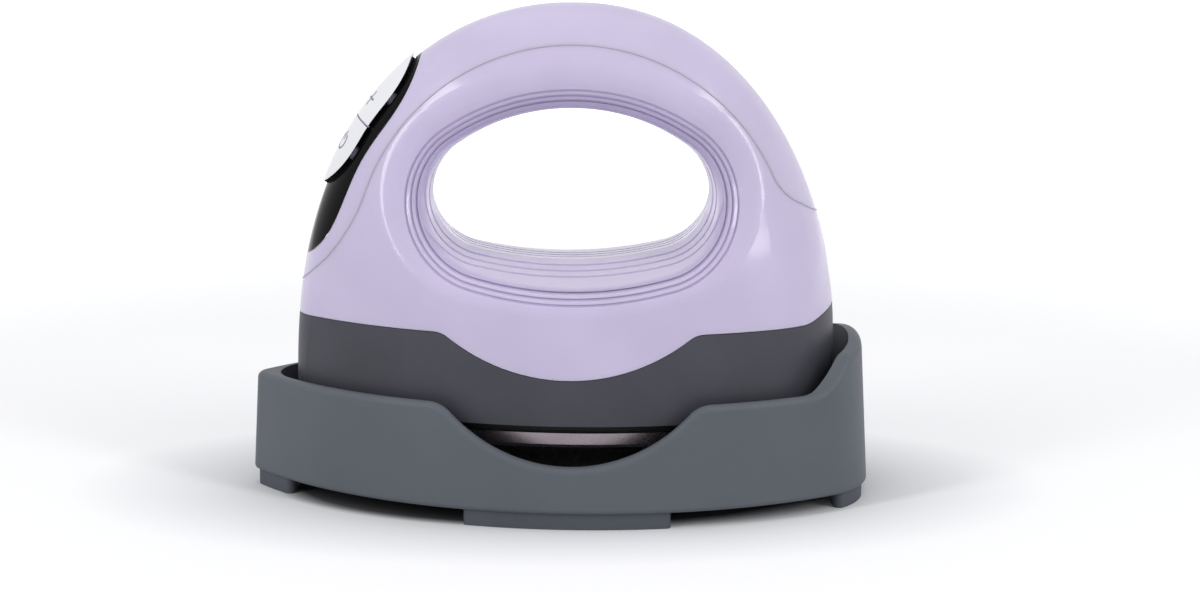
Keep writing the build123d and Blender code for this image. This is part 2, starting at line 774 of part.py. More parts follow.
def side_shell_near(blank):
    shell = blank
    for x, z in boss_places():
        shell = shell - across(x, z, -SHELL_SCREW_REACH, 1, SCREW_RADIUS)
    for x, y in housing_boss_places():
        shell = shell - upright(x, y, PARTING_Z - 2, SCREW_RADIUS, 9)
    return shell


def side_shell_far(blank):
    shell = mirrored(blank)
    for x, z in boss_places():
        shell = shell - across(x, z, -1, FAR, SCREW_RADIUS + 0.2)
        shell = shell - across(
            x, z, SHELL_SCREW_REACH, FAR, SCREW_HEAD_RADIUS + HEAD_POCKET_GAP)
    for x, y in housing_boss_places():
        shell = shell - upright(x, y, PARTING_Z - 2, SCREW_RADIUS, 9)
    return shell


def shell_screws():
    screws = []
    for x, z in boss_places():
        seat = SHELL_SCREW_REACH
        shank = across(x, z, 0.5 - seat, seat, SCREW_RADIUS)
        head = across(x, z, seat, seat + SCREW_HEAD_HEIGHT, SCREW_HEAD_RADIUS)
        screws.append((shank + head).solid())
    return Compound(children=screws)


def top_cover(outer, inner):
    # Crown strip over the handle, with two long ribs that drop between the halves.
    cover = ((outer - inner) & above_seam(-SEAM_GAP)) - lens_column(0)
    room = dome(WALL / 2) & (above_seam(RIB_DROP) - lens_column(LENS_LEDGE))
    for side in (-1, 1):
        low = min(side * COVER_RIB_Y, side * (COVER_RIB_Y + COVER_RIB))
        rib = block(-COVER_RIB_REACH, COVER_RIB_REACH, low, low + COVER_RIB, 0, 2 * FAR)
        cover = cover + (rib & room)
    return cover


def control_lens(outer):
    lens = (outer - dome(LENS_THICKNESS)) & lens_column(-LENS_GAP)
    return lens - key_column(KEY_MARGIN)


def lower_housing(outer, inner, above):
    # Grey skirt with an inward flange at its lower edge.
    skirt = (outer - inner) - Pos(0, 0, -PARTING_GAP) * above
    flange = outer & block(-FAR, FAR, -FAR, FAR, BASE_Z, FLANGE_TOP_Z)
    flange = flange - plate_solid(BASE_Z - 1, FLANGE_THICKNESS + 2, FLANGE_INSET)
    skirt = skirt + flange
    for x, y in housing_boss_places():
        post = upright(x, y, BASE_Z, BOSS_RADIUS, PARTING_Z - BASE_Z)
        skirt = skirt + (post & outer)
    for x, y in housing_boss_places():
        skirt = skirt - upright(x, y, BASE_Z - 1, SCREW_RADIUS + 0.2, FAR)
        skirt = skirt - upright(
            x, y, BASE_Z - 1, SCREW_HEAD_RADIUS + 0.2, SCREW_HEAD_HEIGHT + 1)
    return skirt


def housing_screws():
    screws = []
    for x, y in housing_boss_places():
        head = upright(x, y, BASE_Z, SCREW_HEAD_RADIUS, SCREW_HEAD_HEIGHT)
        shank = upright(x, y, BASE_Z, SCREW_RADIUS, PARTING_Z - BASE_Z + 6)
        screws.append((head + shank).solid())
    return Compound(children=screws)


def cord_gland():
    # Sleeve with a collar that is trapped between two ribs of each half.
    sleeve = lengthwise(GLAND_INNER_X, GLAND_OUTER_X, GLAND_Z, GLAND_RADIUS)
    collar = lengthwise(
        GLAND_COLLAR_X, GLAND_COLLAR_X + GLAND_COLLAR, GLAND_Z, GLAND_FLANGE)
    gland = sleeve + collar
    return gland - lengthwise(GLAND_INNER_X - 1, FAR, GLAND_Z, GLAND_BORE)


# ---------------- keys and control board ----------------

def key_blank(up):
    # Upper (up = 1) or lower (up = -1) pair, still joined in the middle.
    cap = dome(-KEY_PROUD) - dome(KEY_THICKNESS - KEY_PROUD)
    cap = cap & key_column(0)
    if up > 0:
        return cap & panel_block(-FAR, FAR, KEY_GAP / 2, FAR, -FAR, FAR)
    return cap & panel_block(-FAR, FAR, -FAR, -KEY_GAP / 2, -FAR, FAR)


def key(blank, up, side):
    low = min(side * KEY_GAP / 2, side * FAR)
    high = max(side * KEY_GAP / 2, side * FAR)
    cap = (blank & block(-FAR, FAR, low, high, 0, 2 * FAR)).solid()
    board_face = CONTROL_BOARD_DEPTH - SWITCH_HEIGHT - DOME_HEIGHT
    stem_end = board_face - KEY_TRAVEL - SOFT_GAP
    stem_start = KEY_STEM_START
    place = Pos(side * KEY_STEM_Y, up * KEY_STEM_ALONG, (stem_start + stem_end) / 2)
    stem = PANEL * place * Cylinder(KEY_STEM_RADIUS, stem_end - stem_start)
    return cap + stem


def switch_places():
    return [
        (side * KEY_STEM_Y, up * KEY_STEM_ALONG)
        for side in (-1, 1)
        for up in (-1, 1)
    ]


def control_board():
    # Notched at both edges to pass the screw posts of the shells.
    half = CONTROL_BOARD_WIDTH / 2
    board = panel_block(
        -half, half, -CONTROL_BOARD_DOWN, CONTROL_BOARD_UP,
        CONTROL_BOARD_DEPTH, CONTROL_BOARD_DEPTH + BOARD_THICKNESS)
    radius = SCREW_HEAD_RADIUS + HEAD_POCKET_GAP + HEAD_POCKET_WALL + SOFT_GAP
    start = SHELL_SCREW_REACH - HEAD_POCKET_WALL - SOFT_GAP
    for x, z in boss_places():
        board = board - across(x, z, start, FAR, radius)
        board = board - across(x, z, -FAR, -start, radius)
    return board


def tact_switches():
    half = SWITCH_SIZE / 2
    switches = []
    for y, along in switch_places():
        switches.append(panel_block(
            y - half, y + half, along - half, along + half,
            CONTROL_BOARD_DEPTH - SWITCH_HEIGHT, CONTROL_BOARD_DEPTH).solid())
    return Compound(children=switches)


def keypad_mat():
    # Soft sheet over the switches with one low dome under each stem.
    half = CONTROL_BOARD_WIDTH / 2 - KEYPAD_INSET
    top = CONTROL_BOARD_DEPTH - SWITCH_HEIGHT
    reach = KEY_STEM_ALONG + SWITCH_SIZE
    mat = panel_block(-half, half, -reach + 1, reach, top - 0.6, top)
    for y, along in switch_places():
        place = Pos(y, along, top - DOME_HEIGHT / 2)
        mat = mat + PANEL * place * Cylinder(KEY_STEM_RADIUS + 0.6, DOME_HEIGHT)
    return mat


def display_module():
    half = DISPLAY_WIDTH / 2
    return panel_block(
        -half, half, -DISPLAY_LOW, -DISPLAY_HIGH,
        CONTROL_BOARD_DEPTH - DISPLAY_HEIGHT, CONTROL_BOARD_DEPTH)


# ---------------- main board ----------------

def board_post_places():
    return [
        (APEX_X + sx * (POWER_BOARD_LENGTH / 2 - 4), sy * (POWER_BOARD_WIDTH / 2 - 4))
        for sx in (-1, 1)
        for sy in (-1, 1)
    ]


def power_board():
    half_x = POWER_BOARD_LENGTH / 2
    half_y = POWER_BOARD_WIDTH / 2
    board = block(
        APEX_X - half_x, APEX_X + half_x, -half_y, half_y, POWER_BOARD_Z, PARTS_Z)
    return fillet(board.edges().filter_by(Axis.Z), 2.5)


def board_posts():
    posts = []
    for x, y in board_post_places():
        posts.append(upright(
            x, y, SHIELD_TOP_Z, STANDOFF_RADIUS, POWER_BOARD_Z - SHIELD_TOP_Z).solid())
    return Compound(children=posts)


def board_part(x, y, size):
    return Pos(APEX_X + x, y, PARTS_Z + size[2] / 2) * Box(*size)


def board_fuse():
    # Glass tube between two end caps in their clips.
    x0 = APEX_X - FUSE_LENGTH / 2
    z = PARTS_Z + FUSE_RADIUS
    tube = Pos(APEX_X, -8, z) * Rot(0, 90, 0) * Cylinder(FUSE_RADIUS, FUSE_LENGTH)
    for x in (x0, x0 + FUSE_LENGTH - 3):
        tube = tube + block(x, x + 3, -8 - FUSE_RADIUS, -8 + FUSE_RADIUS, PARTS_Z, z)
    return tube


def thermal_fuse():
    # Round cut-out on a small strap, screwed flat on the shield.
    body = upright(SCOOP_X, 0, SHIELD_TOP_Z + 0.6, 3.0, 2.4)
    return body + block(SCOOP_X - 7, SCOOP_X + 7, -2.0, 2.0, SHIELD_TOP_Z, SHIELD_TOP_Z + 0.6)


def temperature_sensor():
    lug = upright(SCOOP_X + 16, 0, SHIELD_TOP_Z, 3.0, 0.8)
    x0 = SCOOP_X + 17
    bead = Pos(x0 + 4, 0, SHIELD_TOP_Z + 1.3) * Rot(0, 90, 0) * Cylinder(1.3, 8)
    return lug + bead


# ---------------- assembly ----------------

def main():
    os.makedirs("parts", exist_ok=True)
    export("stand_tray", stand_tray())
    export("stand_feet", stand_feet())
    export("rest_pads", rest_pads())
    export("heat_mat", heat_mat())

    export("heat_plate", heat_plate())
    export("plate_seal", plate_seal())
    export("heating_element", layer(PLATE_TOP_Z, HEATER_THICKNESS, HEATER_INSET))
    export("clamp_plate", layer(CLAMP_Z, CLAMP_THICKNESS, CLAMP_INSET))
    export("insulation_board", layer(CLAMP_TOP_Z, FLANGE_TOP_Z - CLAMP_TOP_Z, HEATER_INSET))
    export("heat_shield", heat_shield())
    export("plate_standoffs", plate_standoffs())
    export("plate_screws", plate_screws())

    outer = dome(0)
    inner = dome(WALL, BASE_Z - 2)
    hollow = grip_half(WALL, BASE_Z - 2)
    above = above_parting()
    crown = above_seam(0)
    blank = shell_blank(hollow, above, crown)
    export("side_shell_near", side_shell_near(blank))
    export("side_shell_far", side_shell_far(blank))
    export("top_cover", top_cover(outer, inner))
    export("control_lens", control_lens(outer))
    export("lower_housing", lower_housing(outer, inner, above))
    export("shell_screws", shell_screws())
    export("housing_screws", housing_screws())
    export("cord_gland", cord_gland())

    upper = key_blank(1)
    lower = key_blank(-1)
    export("key_plus", key(upper, 1, -1))
    export("key_minus", key(upper, 1, 1))
    export("key_power", key(lower, -1, -1))
    export("key_timer", key(lower, -1, 1))
    export("keypad_mat", keypad_mat())
    export("tact_switches", tact_switches())
    export("control_board", control_board())
    export("display_module", display_module())

    export("power_board", power_board())
    export("board_posts", board_posts())
    export("relay", board_part(-8, 4, RELAY_SIZE))
    export("capacitor", upright(APEX_X + 6, 6, PARTS_Z, CAPACITOR_RADIUS, CAPACITOR_HEIGHT))
    export("terminal_block", board_part(18, 0, TERMINAL_SIZE))
    export("board_fuse", board_fuse())
    export("thermal_fuse", thermal_fuse())
    export("temperature_sensor", temperature_sensor())


main()
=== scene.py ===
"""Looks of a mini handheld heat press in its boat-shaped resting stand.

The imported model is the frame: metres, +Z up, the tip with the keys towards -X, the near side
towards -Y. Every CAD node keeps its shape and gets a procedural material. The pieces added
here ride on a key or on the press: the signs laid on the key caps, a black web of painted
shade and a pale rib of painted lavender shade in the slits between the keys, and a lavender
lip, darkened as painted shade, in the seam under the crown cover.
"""

import json
import math

import bmesh
import bpy
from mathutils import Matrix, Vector
from mathutils.bvhtree import BVHTree


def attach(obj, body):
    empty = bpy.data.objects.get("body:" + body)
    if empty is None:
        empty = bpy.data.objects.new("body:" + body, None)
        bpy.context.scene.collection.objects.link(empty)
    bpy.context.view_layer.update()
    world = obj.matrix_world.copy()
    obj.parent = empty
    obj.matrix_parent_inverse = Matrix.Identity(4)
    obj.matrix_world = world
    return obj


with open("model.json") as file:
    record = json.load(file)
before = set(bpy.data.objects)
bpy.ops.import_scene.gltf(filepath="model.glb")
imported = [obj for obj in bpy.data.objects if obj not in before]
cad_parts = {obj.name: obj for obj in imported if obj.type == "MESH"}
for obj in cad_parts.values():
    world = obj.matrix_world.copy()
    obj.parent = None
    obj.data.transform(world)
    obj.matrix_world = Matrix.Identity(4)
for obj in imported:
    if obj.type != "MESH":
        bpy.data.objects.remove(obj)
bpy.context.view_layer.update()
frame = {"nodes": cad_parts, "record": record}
NODES = frame["nodes"]

# ---------------- the view ----------------

# Pinhole camera fitted to the object's outline, in the 1200 x 592 picture.
IMAGE_WIDTH = 1200
IMAGE_HEIGHT = 592
SENSOR = 36.0                 # mm
CAMERA_PLACE = (0.00175, -0.450, 0.118)
CAMERA_PITCH = 8.0            # degrees below level
CLIP_START = 0.01
FOCAL_PIXELS = 2116.0
AXIS_PIXEL = (567.0, 233.0)   # where the optical axis meets the picture

# Light: the world, a soft box on either side and one above, all aimed at the object.
WORLD_LEVEL = 0.58
WORLD_TINT = (0.96, 0.97, 1.0, 1)
LIGHT_TARGET = (0.0, 0.0, 0.05)
SIDE_BOX_PLACE = (0.75, -0.55, 0.65)
SIDE_BOX_SIZE = (0.16, 0.7)
SIDE_WATTS = 3.3
TOP_BOX_PLACE = (0.0, 0.10, 1.05)
TOP_BOX_SIZE = (0.8, 0.6)
TOP_WATTS = 0.8

# Floor: pale, with a painted shadow right under the stand, and lifted to white by a glow away
# from it; the glow fades out near the stand, a painted soft shadow round it.
WHITE = (1, 1, 1, 1)
FLOOR_HALF = 6.0
FLOOR_PALE = (0.80, 0.80, 0.81, 1)
# Painted shadow: the floor's colour right under the stand.
FLOOR_PAINTED_SHADOW = (0.12, 0.12, 0.125, 1)
FOOTPRINT_HALF_LENGTH = 0.0665
FOOTPRINT_HALF_WIDTH = 0.0395
PAINTED_SHADOW_EDGE = (0.84, 0.93)     # end of the painted shadow, 1 is the edge of the footprint
GLOW_EDGE = (0.95, 1.6)       # start of the glow, in the same measure; nearer in, less glow paints a soft shadow
FAR_EDGE = (0.22, 0.9)        # where the glow grows, metres from the middle
FLOOR_GLOW = 0.28
FLOOR_GLOW_FAR = 0.9

# ---------------- colours, as seen on a screen, 0 to 255 ----------------

LAVENDER = (204, 194, 223)
LENS_BLACK = (10, 9, 11)
KEY_WHITE = (240, 240, 243)
SKIRT_GREY = (69, 69, 77)
STAND_GREY = (91, 96, 103)
FOOT_GREY = (74, 78, 86)
PAD_GREY = (40, 40, 43)
PLATE_METAL = (160, 149, 155)
SEAL_BLACK = (18, 17, 18)
INK_GREY = (118, 112, 138)
RUBBER_BLACK = (30, 30, 33)
# Painted shade: the black web in the slits between the keys.
WEB_SHADE_BLACK = (14, 13, 15)
BOARD_GREEN = (26, 92, 58)
FIBRE_DARK = (92, 92, 96)
FIBRE_LIGHT = (132, 132, 136)
GLASS_TINT = (205, 215, 215)
HEATER_FOIL = (176, 160, 128)
SHEET_STEEL = (188, 190, 194)
FIBRE_BOARD = (205, 198, 176)
BRASS = (205, 170, 96)
SCREW_STEEL = (190, 190, 194)
KEYPAD_GREY = (176, 176, 182)
SWITCH_BLACK = (28, 28, 30)
DISPLAY_GREY = (40, 40, 43)
RELAY_BLUE = (38, 70, 140)
CAN_BLUE = (120, 124, 148)
TERMINAL_GREEN = (52, 118, 74)
FUSE_STEEL = (182, 182, 184)
SENSOR_STEEL = (150, 150, 146)

# ---------------- the key panel ----------------

# Direction in which the keys are pressed, and the middle of the four keys, metres.
KEY_TILT = math.radians(36)
PRESS = Vector((math.cos(KEY_TILT), 0, -math.sin(KEY_TILT)))
UP_NOSE = Vector((math.sin(KEY_TILT), 0, math.cos(KEY_TILT)))
ACROSS = Vector((0, 1, 0))
KEY_MIDDLE = Vector((-0.0419, 0, 0.0800))


def linear(channel):
    value = channel / 255
    if value <= 0.04045:
        return value / 12.92
    return ((value + 0.055) / 1.055) ** 2.4


def rgba(colour):
    return tuple(linear(c) for c in colour) + (1.0,)


def shaded(colour, factor):
    return tuple(min(255, c * factor) for c in colour)


# ---------------- shader nodes ----------------

def map_range(tree, source, start, end, low, high):
    """Takes a value from the span start to end to the span low to high."""
    node = tree.nodes.new("ShaderNodeMapRange")
    for name, value in (("From Min", start), ("From Max", end),
                        ("To Min", low), ("To Max", high)):
        node.inputs[name].default_value = value
    tree.links.new(source, node.inputs["Value"])
    return node.outputs["Result"]


def math_result(tree, operation, first, second):
    node = tree.nodes.new("ShaderNodeMath")
    node.operation = operation
    tree.links.new(first, node.inputs[0])
    tree.links.new(second, node.inputs[1])
    return node.outputs[0]


def colour_mix(tree, factor):
    """The two colour inputs and the colour output of a new mix node."""
    node = tree.nodes.new("ShaderNodeMix")
    node.data_type = "RGBA"
    tree.links.new(factor, node.inputs[0])
    first, second = [socket for socket in node.inputs if socket.type == "RGBA"]
    result = [socket for socket in node.outputs if socket.type == "RGBA"][0]
    return first, second, result


class Recipe:
    """A node material under construction: coordinates, noises and one Principled shader."""

    def __init__(self, name):
        self.material = bpy.data.materials.new(name)
        self.material.use_nodes = True
        self.tree = self.material.node_tree
        self.tree.nodes.clear()
        output = self.add("ShaderNodeOutputMaterial")
        self.shader = self.add("ShaderNodeBsdfPrincipled")
        self.link(self.shader.outputs["BSDF"], output.inputs["Surface"])
        self.place = self.add("ShaderNodeTexCoord").outputs["Object"]

    def add(self, kind):
        return self.tree.nodes.new(kind)

    def link(self, source, target):
        self.tree.links.new(source, target)

    def set(self, **values):
        for key, value in values.items():
            self.shader.inputs[key.replace("_", " ")].default_value = value

    def noise(self, scale, detail=3.0, roughness=0.55, stretch=None):
        node = self.add("ShaderNodeTexNoise")
        node.inputs["Scale"].default_value = scale
        node.inputs["Detail"].default_value = detail
        node.inputs["Roughness"].default_value = roughness
        source = self.place
        if stretch:
            mapping = self.add("ShaderNodeMapping")
            mapping.inputs["Scale"].default_value = stretch
            self.link(source, mapping.inputs["Vector"])
            source = mapping.outputs["Vector"]
        self.link(source, node.inputs["Vector"])
        return node.outputs["Fac"]

    def blend_colours(self, factor, first, second):
        """Colours the surface from the first colour to the second as the factor grows."""
        *inputs, result = colour_mix(self.tree, factor)
        for target, value in zip(inputs, (first, second)):
            if isinstance(value, bpy.types.NodeSocket):
                self.link(value, target)
            else:
                target.default_value = rgba(value)
        self.link(result, self.shader.inputs["Base Color"])

    def mottle(self, noise, start, end, first, second):
        """Lets a noise, between start and end, mix two colours."""
        self.blend_colours(map_range(self.tree, noise, start, end, 0.0, 1.0), first, second)

    def roughness(self, noise, low, high):
        result = map_range(self.tree, noise, 0.3, 0.7, low, high)
        self.link(result, self.shader.inputs["Roughness"])

    def facing(self, direction):
        """Cosine of the angle between the surface's normal and a direction of the object."""
        node = self.add("ShaderNodeVectorMath")
        node.operation = "DOT_PRODUCT"
        node.inputs[1].default_value = direction
        self.link(self.add("ShaderNodeTexCoord").outputs["Normal"], node.inputs[0])
        return node.outputs["Value"]

    def bump(self, height, depth):
        node = self.add("ShaderNodeBump")
        node.inputs["Distance"].default_value = depth
        node.inputs["Strength"].default_value = 1.0
        self.link(height, node.inputs["Height"])
        self.link(node.outputs["Normal"], self.shader.inputs["Normal"])


# ---------------- materials ----------------

def glossy_plastic(name, colour, roughness, mottle=0.02, orange_peel=0.000004):
    """Glossy moulded plastic with a faint mottle and a shallow orange peel."""
    recipe = Recipe(name)
    cloud = recipe.noise(scale=38.0, detail=2.0)
    recipe.mottle(cloud, 0.35, 0.65,
                  shaded(colour, 1 - mottle), shaded(colour, 1 + mottle / 2))
    haze = recipe.noise(scale=160.0, detail=4.0)
    recipe.roughness(haze, roughness * 0.88, roughness * 1.12)
    recipe.bump(recipe.noise(scale=900.0, detail=2.0), orange_peel)
    recipe.set(IOR=1.49)
    return recipe


def lavender_shell():
    recipe = glossy_plastic("lavender_shell", LAVENDER, roughness=0.42)
    recipe.set(Specular_IOR_Level=0.3, Coat_Weight=0.5, Coat_Roughness=0.1)
    recipe.set(Subsurface_Weight=0.45, Subsurface_Scale=0.0025,
               Subsurface_Radius=(1.0, 0.9, 1.0))
    return recipe.material


def black_lens():
    recipe = glossy_plastic("black_lens", LENS_BLACK, roughness=0.08, mottle=0.1,
                            orange_peel=0.000001)
    recipe.set(Specular_IOR_Level=0.1)
    return recipe.material


def white_key():
    """White on the faces of the caps, with painted lavender shade on their sides."""
    recipe = glossy_plastic("white_key", KEY_WHITE, roughness=0.24, mottle=0.008,
                            orange_peel=0.000003)
    cap = recipe.shader.inputs["Base Color"].links[0].from_socket
    # Painted shade: the caps' sides, turned away from the press direction, take darkened
    # lavender.
    side = map_range(recipe.tree, recipe.facing(-PRESS), 0.25, 0.45, 1.0, 0.0)
    recipe.blend_colours(side, cap, shaded(LAVENDER, 0.94))
    recipe.set(Coat_Weight=0.2, Coat_Roughness=0.1)
    return recipe.material


def textured_plastic(name, colour, roughness, grain_depth, mottle=0.05):
    """Moulded plastic with a fine spark-eroded grain."""
    recipe = Recipe(name)
    cloud = recipe.noise(scale=60.0, detail=4.0)
    grain = recipe.noise(scale=3200.0, detail=2.0, roughness=0.6)
    recipe.mottle(cloud, 0.3, 0.7, shaded(colour, 1 - mottle), shaded(colour, 1 + mottle))
    recipe.roughness(grain, roughness * 0.9, roughness * 1.1)
    recipe.bump(grain, grain_depth)
    return recipe


def grey_skirt():
    recipe = textured_plastic("grey_skirt", SKIRT_GREY, roughness=0.46, grain_depth=0.00002)
    recipe.set(Specular_IOR_Level=0.25)
    return recipe.material


def slate_stand():
    recipe = textured_plastic("slate_stand", STAND_GREY, roughness=0.52, grain_depth=0.00003,
                              mottle=0.025)
    recipe.set(Specular_IOR_Level=0.28)
    return recipe.material


def foot_rubber():
    return textured_plastic("foot_rubber", FOOT_GREY, roughness=0.7, grain_depth=0.00003,
                            mottle=0.04).material


def soft_black(name, colour, roughness):
    return textured_plastic(name, colour, roughness, grain_depth=0.00002, mottle=0.15).material


def moulded(name, colour, roughness):
    return textured_plastic(name, colour, roughness, grain_depth=0.00001, mottle=0.06).material


def circuit_board():
    recipe = textured_plastic("circuit_board", BOARD_GREEN, roughness=0.38,
                              grain_depth=0.00001, mottle=0.1)
    recipe.set(Coat_Weight=0.3, Coat_Roughness=0.2)
    return recipe.material


def metal(name, colour, roughness, along):
    """Metal with a little staining and a fine finish that runs where `along` is least."""
    recipe = Recipe(name)
    lines = recipe.noise(scale=1400.0, detail=3.0, roughness=0.6, stretch=along)
    stain = recipe.noise(scale=90.0, detail=4.0)
    recipe.mottle(stain, 0.35, 0.75, colour, shaded(colour, 0.9))
    recipe.roughness(lines, roughness * 0.75, roughness * 1.25)
    recipe.bump(lines, 0.000006)
    recipe.set(Metallic=1.0)
    return recipe.material


def woven_mat():
    """Felted fibre sheet."""
    recipe = Recipe("fibre_mat")
    fibres = recipe.noise(scale=1500.0, detail=5.0, roughness=0.7, stretch=(1.0, 0.25, 1.0))
    recipe.mottle(fibres, 0.35, 0.65, FIBRE_DARK, FIBRE_LIGHT)
    recipe.roughness(fibres, 0.85, 0.98)
    recipe.bump(fibres, 0.00015)
    return recipe.material


def tinted_glass():
    recipe = glossy_plastic("fuse_glass", GLASS_TINT, roughness=0.05)
    recipe.set(Transmission_Weight=0.9)
    return recipe.material


def symbol_ink():
    recipe = Recipe("symbol_ink")
    wear = recipe.noise(scale=900.0, detail=3.0)
    recipe.mottle(wear, 0.3, 0.8, INK_GREY, shaded(INK_GREY, 1.12))
    recipe.roughness(wear, 0.35, 0.5)
    recipe.bump(wear, 0.000003)
    return recipe.material


SYMBOL_INK = symbol_ink()
MATERIALS = {
    "shell_plastic": lavender_shell(),
    "lens_plastic": black_lens(),
    "key_plastic": white_key(),
    "skirt_plastic": grey_skirt(),
    "stand_plastic": slate_stand(),
    "foot_rubber": foot_rubber(),
    "pad_silicone": soft_black("pad_silicone", PAD_GREY, 0.6),
    "mat_fibre": woven_mat(),
    "plate_metal": metal("sole_plate", PLATE_METAL, 0.3, (1.0, 12.0, 12.0)),
    "seal_silicone": soft_black("plate_seal", SEAL_BLACK, 0.75),
    "heater_foil": metal("heater_foil", HEATER_FOIL, 0.4, (1.0, 8.0, 8.0)),
    "sheet_steel": metal("sheet_steel", SHEET_STEEL, 0.35, (1.0, 10.0, 10.0)),
    "fibre_board": moulded("fibre_board", FIBRE_BOARD, 0.8),
    "post_brass": metal("turned_brass", BRASS, 0.28, (6.0, 6.0, 1.0)),
    "screw_steel": metal("screw_steel", SCREW_STEEL, 0.26, (6.0, 6.0, 1.0)),
    "gland_rubber": soft_black("gland_rubber", RUBBER_BLACK, 0.62),
    "keypad_silicone": moulded("keypad_silicone", KEYPAD_GREY, 0.6),
    "switch_plastic": moulded("switch_plastic", SWITCH_BLACK, 0.5),
    "board_laminate": circuit_board(),
    "display_plastic": moulded("display_plastic", DISPLAY_GREY, 0.3),
    "relay_plastic": moulded("relay_plastic", RELAY_BLUE, 0.4),
    "can_aluminium": metal("capacitor_can", CAN_BLUE, 0.35, (1.0, 1.0, 8.0)),
    "terminal_plastic": moulded("terminal_plastic", TERMINAL_GREEN, 0.5),
    "fuse_glass": tinted_glass(),
    "fuse_case": metal("fuse_case", FUSE_STEEL, 0.3, (8.0, 8.0, 1.0)),
    "sensor_case": metal("sensor_case", SENSOR_STEEL, 0.4, (1.0, 8.0, 8.0)),
}


def dress_nodes():
    """Gives every CAD node the material of its slot in the record."""
    for part in frame["record"]["subparts"]:
        node = NODES[part["node"]]
        node.data.materials.clear()
        node.data.materials.append(MATERIALS[part["material_slot"]])


# ---------------- pieces made of bars ----------------

def new_object(name, data):
    """An object in the scene."""
    made = bpy.data.objects.new(name, data)
    bpy.context.scene.collection.objects.link(made)
    return made


def surface_tree(node):
    """The faces of a CAD node, ready for rays."""
    mesh = NODES[node].data
    corners = [vertex.co for vertex in mesh.vertices]
    faces = [tuple(polygon.vertices) for polygon in mesh.polygons]
    return BVHTree.FromPolygons(corners, faces)


def add_bar(bm, rings):
    """A closed bar through rings of four corners each."""
    loops = [[bm.verts.new(corner) for corner in ring] for ring in rings]
    for first, second in zip(loops, loops[1:]):
        for i in range(4):
            j = (i + 1) % 4
            bm.faces.new((first[i], first[j], second[j], second[i]))
    bm.faces.new(loops[0][::-1])
    bm.faces.new(loops[-1])


def place_bars(name, bars, body, material):
    """One piece made of bars that rides on a body."""
    bm = bmesh.new()
    for rings in bars:
        add_bar(bm, rings)
    bmesh.ops.recalc_face_normals(bm, faces=bm.faces)
    mesh = bpy.data.meshes.new(name)
    bm.to_mesh(mesh)
    bm.free()
    mesh.materials.append(material)
    piece = new_object(name, mesh)
    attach(piece, body)


def arc(middle, radius, start, end, count):
    """Points of an arc in a plane, its angles in degrees from the plane's first axis."""
    points = []
    for i in range(count + 1):
        angle = math.radians(start + (end - start) * i / count)
        points.append((middle[0] + radius * math.cos(angle),
                       middle[1] + radius * math.sin(angle)))
    return points


# ---------------- symbols on the keys ----------------

SYMBOL_SIDE = 0.0043          # how far each symbol is from the middle plane
SYMBOL_UP = 0.0048            # and along the panel from the middle of the keys
SYMBOL_DOWN = -0.0060
SYMBOL_HALF = 0.0018
POWER_GAP = 35                # degrees to each side of the power sign's bar
POWER_BAR = (0.1, 1.25)       # ends of the bar, and of the clock's hands, in half symbols
CLOCK_HANDS = (0.62, 0.5)
POWER_STEPS = 20
CLOCK_STEPS = 32
STROKE = 0.00045
STROKE_STEP = 0.0002
INLAY_PROUD = 0.00004
INLAY_DEEP = 0.00008
PANEL_CLEAR = 0.03            # how far in front of the panel a ray starts


def cap_surface(node):
    """A lookup from a place on the key panel to the point of the cap below it."""
    tree = surface_tree(node)

    def find(across, along):
        start = KEY_MIDDLE + ACROSS * across + UP_NOSE * along - PRESS * PANEL_CLEAR
        return tree.ray_cast(start, PRESS)[0]

    return find


def sampled(points):
    """Points along a line of the panel, close enough to follow the cap."""
    fine = [points[0]]
    for start, end in zip(points, points[1:]):
        steps = max(1, round(math.dist(start, end) / STROKE_STEP))
        for i in range(1, steps + 1):
            t = i / steps
            fine.append((start[0] + (end[0] - start[0]) * t,
                         start[1] + (end[1] - start[1]) * t))
    return fine


def stroke_bar(find, points):
    """A shallow inlaid bar that follows a line over the cap."""
    fine = sampled(points)
    rings = []
    for i, (across, along) in enumerate(fine):
        before = fine[max(i - 1, 0)]
        after = fine[min(i + 1, len(fine) - 1)]
        run = math.dist(before, after)
        side = (-(after[1] - before[1]) / run, (after[0] - before[0]) / run)
        ring = []
        for share, lift in ((-0.5, -INLAY_DEEP), (-0.5, INLAY_PROUD),
                            (0.5, INLAY_PROUD), (0.5, -INLAY_DEEP)):
            place = find(across + side[0] * STROKE * share, along + side[1] * STROKE * share)
            ring.append(place - PRESS * lift)
        rings.append(ring)
    return rings


def key_symbol(node, strokes):
    find = cap_surface(node)
    bars = [stroke_bar(find, stroke) for stroke in strokes]
    place_bars(node + "_symbol", bars, node, SYMBOL_INK)


def make_symbols():
    """Plus, minus, power and clock signs."""
    size = SYMBOL_HALF
    near = -SYMBOL_SIDE
    far = SYMBOL_SIDE
    up = SYMBOL_UP
    down = SYMBOL_DOWN
    key_symbol("key_plus", [
        [(near, up - size), (near, up + size)],
        [(near - size, up), (near + size, up)],
    ])
    key_symbol("key_minus", [[(far - size, up), (far + size, up)]])
    key_symbol("key_power", [
        arc((near, down), size, 90 + POWER_GAP, 450 - POWER_GAP, POWER_STEPS),
        [(near, down + size * POWER_BAR[0]), (near, down + size * POWER_BAR[1])],
    ])
    key_symbol("key_timer", [
        arc((far, down), size, 90, 450, CLOCK_STEPS),
        [(far, down), (far, down + size * CLOCK_HANDS[0])],
        [(far, down), (far + size * CLOCK_HANDS[1], down)],
    ])


# ---------------- web and rib between the keys ----------------

